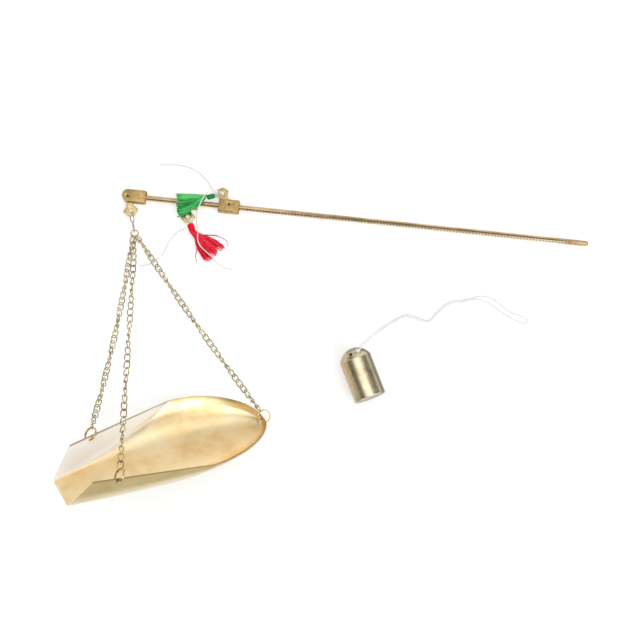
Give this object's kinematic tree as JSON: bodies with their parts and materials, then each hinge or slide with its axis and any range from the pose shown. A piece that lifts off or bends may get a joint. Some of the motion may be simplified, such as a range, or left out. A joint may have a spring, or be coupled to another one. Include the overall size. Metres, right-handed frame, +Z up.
{
  "type": "steelyard",
  "caption": "Small brass steelyard laid flat: round marked beam, two tasselled lifting hangers, load hanger and hook, three chains, scoop pan and a domed sliding weight on a looped cord.",
  "frame": {"origin": "on the surface that the object lies on, under the middle of the upper hanger's bracket", "axes": "+X along the beam towards its free end, +Y across it towards the side the upper hanger leaves by, +Z up from the surface"},
  "size_m": [0.3135, 0.2297, 0.0733],
  "materials": {
    "rod_brass": "drawn, lightly polished",
    "scale_inlay": "dark inlaid pins",
    "dull_brass": "matte, unpolished",
    "pin_steel": "cut and filed ends",
    "plate_brass": "stamped, olive tone",
    "hook_steel": "twisted wire",
    "ring_brass": "bright drawn wire",
    "chain_brass": "bright drawn wire",
    "pan_brass": "thin polished sheet",
    "weight_brass": "turned and polished",
    "white_cord": "twisted cotton",
    "green_thread": "silky floss",
    "red_thread": "silky floss"
  },
  "bodies": {
    "beam": {"beam_rod": "rod_brass", "tip_plug": "rod_brass", "scale_marks": "scale_inlay", "head_bracket": "dull_brass", "lower_bracket": "dull_brass", "upper_bracket": "dull_brass", "head_pin": "pin_steel", "lower_pin": "pin_steel", "upper_pin": "pin_steel", "green_cord_up": "white_cord", "green_cord_down": "white_cord", "red_cord": "white_cord"},
    "load_link": {"load_hanger": "plate_brass"},
    "hook": {"load_hook": "hook_steel"},
    "pan_set": {"top_ring": "ring_brass", "chain_far": "chain_brass", "chain_near": "chain_brass", "chain_back": "chain_brass", "pan_ring_far": "ring_brass", "pan_ring_near": "ring_brass", "pan_ring_back": "ring_brass", "pan": "pan_brass"},
    "lower_grip": {"lower_hanger": "plate_brass", "red_tie": "white_cord", "red_binding": "red_thread", "red_tassel": "red_thread"},
    "upper_grip": {"upper_hanger": "plate_brass", "green_tie": "white_cord", "green_binding": "green_thread", "green_tassel": "green_thread"},
    "counterweight": {"weight": "weight_brass", "weight_knot": "white_cord", "weight_cord": "white_cord"}
  },
  "joints": [
    {"name": "load_swing", "type": "hinge", "parent": "beam", "child": "load_link", "pos_m": [-0.0672, -0.0005, 0.0027], "axis": [0, 0, 1], "range_deg": [-55, 4]},
    {"name": "hook_swing", "type": "hinge", "parent": "load_link", "child": "hook", "pos_m": [-0.0642, -0.00973, 0.0027], "axis": [0, 0, 1], "range_deg": [-30, 4]},
    {"name": "pan_swing", "type": "hinge", "parent": "hook", "child": "pan_set", "pos_m": [-0.0595, -0.02491, 0.0027], "axis": [0, 0, 1], "range_deg": [-30, 4]},
    {"name": "lower_swing", "type": "hinge", "parent": "beam", "child": "lower_grip", "pos_m": [-0.0275, -0.0008, 0.0027], "axis": [0, 0, 1], "range_deg": [-40, 30], "deforming": ["red_cord", "green_cord_down"]},
    {"name": "upper_swing", "type": "hinge", "parent": "beam", "child": "upper_grip", "pos_m": [0, 0.0008, 0.0027], "axis": [0, 0, 1], "range_deg": [-85, 8], "deforming": ["green_cord_up", "green_cord_down"]},
    {"name": "weight_slide", "type": "slide", "parent": "beam", "child": "counterweight", "axis": [1, 0, 0], "range_m": [-0.008, 0.035]}
  ]
}
